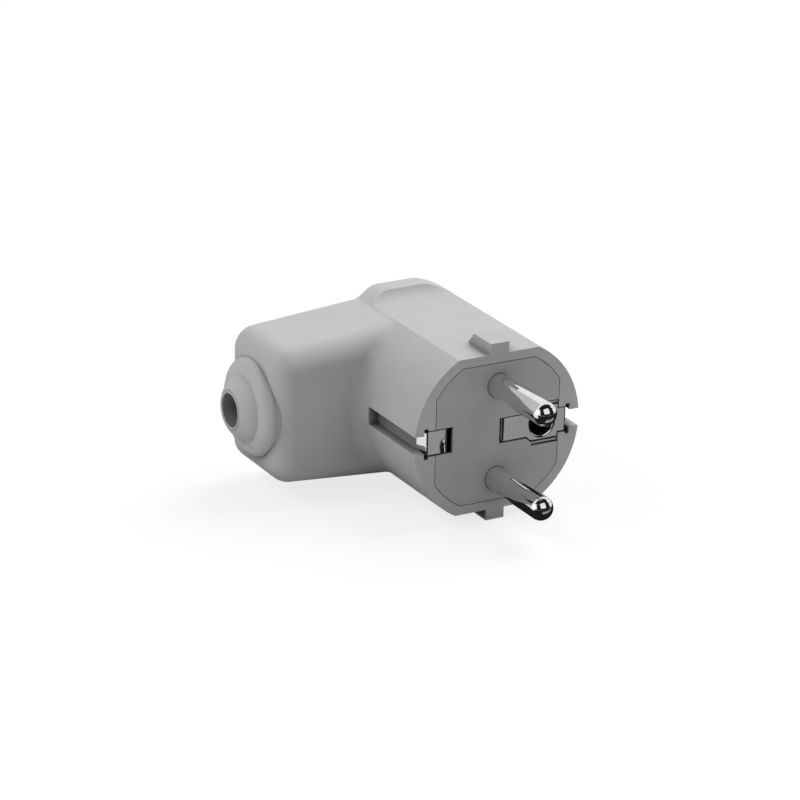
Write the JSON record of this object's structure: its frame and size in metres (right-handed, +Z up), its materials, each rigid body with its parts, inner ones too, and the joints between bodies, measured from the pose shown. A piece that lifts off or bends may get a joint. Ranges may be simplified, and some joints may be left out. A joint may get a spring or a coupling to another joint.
{
  "type": "angled earthed mains plug",
  "caption": "Right-angle mains plug with round pins, side earth strips and a female earth socket in its face, a side cable arm and a soft cable boot.",
  "frame": {"origin": "centre of the engagement face, midway between the pins, on the flat front of the contact carrier", "axes": "-Y out of the engagement face, along the pins; -X along the cable arm, towards the cable entry; +Z up, from the lower pin to the upper pin"},
  "size_m": [0.059, 0.0609, 0.036],
  "materials": {
    "housing_plastic": "fine matte moulded texture, mid grey",
    "boot_rubber": "smooth matte soft plastic, mid grey",
    "carrier_plastic": "fine matte moulded texture, mid grey",
    "clamp_plastic": "moulded, dark grey",
    "nickel_plate": "bright nickel plate on brass",
    "terminal_brass": "turned and milled",
    "zinc_steel": "zinc plated",
    "spring_steel": "bare spring steel"
  },
  "bodies": {
    "root": {"housing": "housing_plastic", "cable_boot": "boot_rubber", "contact_carrier": "carrier_plastic", "line_pin": "nickel_plate", "neutral_pin": "nickel_plate", "earth_bracket": "nickel_plate", "earth_pin_sleeve": "nickel_plate", "sleeve_spring_ring": "spring_steel", "line_wire_leaf": "zinc_steel", "neutral_wire_leaf": "zinc_steel", "earth_wire_leaf": "zinc_steel", "line_terminal_screw": "zinc_steel", "neutral_terminal_screw": "zinc_steel", "earth_terminal_screw": "zinc_steel", "earth_terminal_block": "terminal_brass", "cord_clamp_bridge": "clamp_plastic", "cord_clamp_screw_upper": "zinc_steel", "cord_clamp_screw_lower": "zinc_steel", "cord_clamp_insert_upper": "terminal_brass", "cord_clamp_insert_lower": "terminal_brass", "housing_screw": "zinc_steel", "housing_nut": "zinc_steel"}
  },
  "joints": []
}
